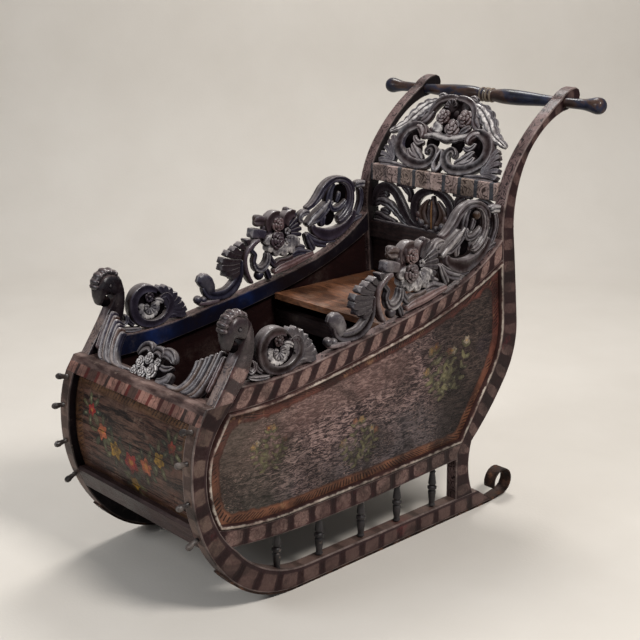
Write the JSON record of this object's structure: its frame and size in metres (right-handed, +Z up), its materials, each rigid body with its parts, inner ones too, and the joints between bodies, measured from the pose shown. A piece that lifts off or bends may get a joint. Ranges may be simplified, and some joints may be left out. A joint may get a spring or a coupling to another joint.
{
  "type": "carved push sleigh",
  "caption": "Painted wooden push sleigh with curved side frames, carved rail scrolls, swan-neck finials, a raised carved back, a turned push handle and iron-shod runners.",
  "frame": {"origin": "on the ground under the middle of the whole sleigh's length and width, runner shoes at z = 0", "axes": "+Z up, the bow faces -Y and the push handle is towards +Y, +X is the sleigh's left side"},
  "size_m": [0.732, 1.2691, 1.041],
  "materials": {
    "striped_wood": "aged painted wood, mauve-brown and oxblood blocks, worn satin",
    "carved_wood": "weathered silver-grey paint on carved wood, dark recesses",
    "painted_panel": "aged painted boards, dark brown ground, satin",
    "worn_moulding": "paint worn to pale wood on the bead",
    "dark_wood": "dark stained wood, satin",
    "plain_wood": "old red-brown stained boards, matt",
    "seat_wood": "worn warm brown boards, satin",
    "plain_painted": "purple-brown paint, matt",
    "bar_paint": "dark blue and brown paint, semi gloss",
    "iron": "dark wrought iron, light rust",
    "iron_dark": "small dark turned pegs"
  },
  "bodies": {
    "root": {"left_runner": "striped_wood", "right_runner": "striped_wood", "left_shoe": "iron", "right_shoe": "iron", "left_finial": "carved_wood", "right_finial": "carved_wood", "left_back_post": "striped_wood", "right_back_post": "striped_wood", "left_top_rail": "striped_wood", "right_top_rail": "striped_wood", "left_lower_rail": "striped_wood", "right_lower_rail": "striped_wood", "left_side_panel": "painted_panel", "right_side_panel": "painted_panel", "left_panel_moulding": "worn_moulding", "right_panel_moulding": "worn_moulding", "left_spindles": "dark_wood", "right_spindles": "dark_wood", "left_pegs": "iron_dark", "right_pegs": "iron_dark", "left_front_scroll": "carved_wood", "right_front_scroll": "carved_wood", "left_rear_carving": "carved_wood", "right_rear_carving": "carved_wood", "front_panel": "painted_panel", "front_rail": "striped_wood", "front_crest": "carved_wood", "front_batten": "plain_painted", "floor_boards": "plain_wood", "floor_bearers": "plain_wood", "seat_board": "seat_wood", "seat_rail": "dark_wood", "seat_cleats": "plain_wood", "back_panel": "dark_wood", "lower_back_rail": "dark_wood", "upper_back_rail": "striped_wood", "back_tracery": "carved_wood", "back_crest": "carved_wood", "handle_bar": "bar_paint"}
  },
  "joints": []
}
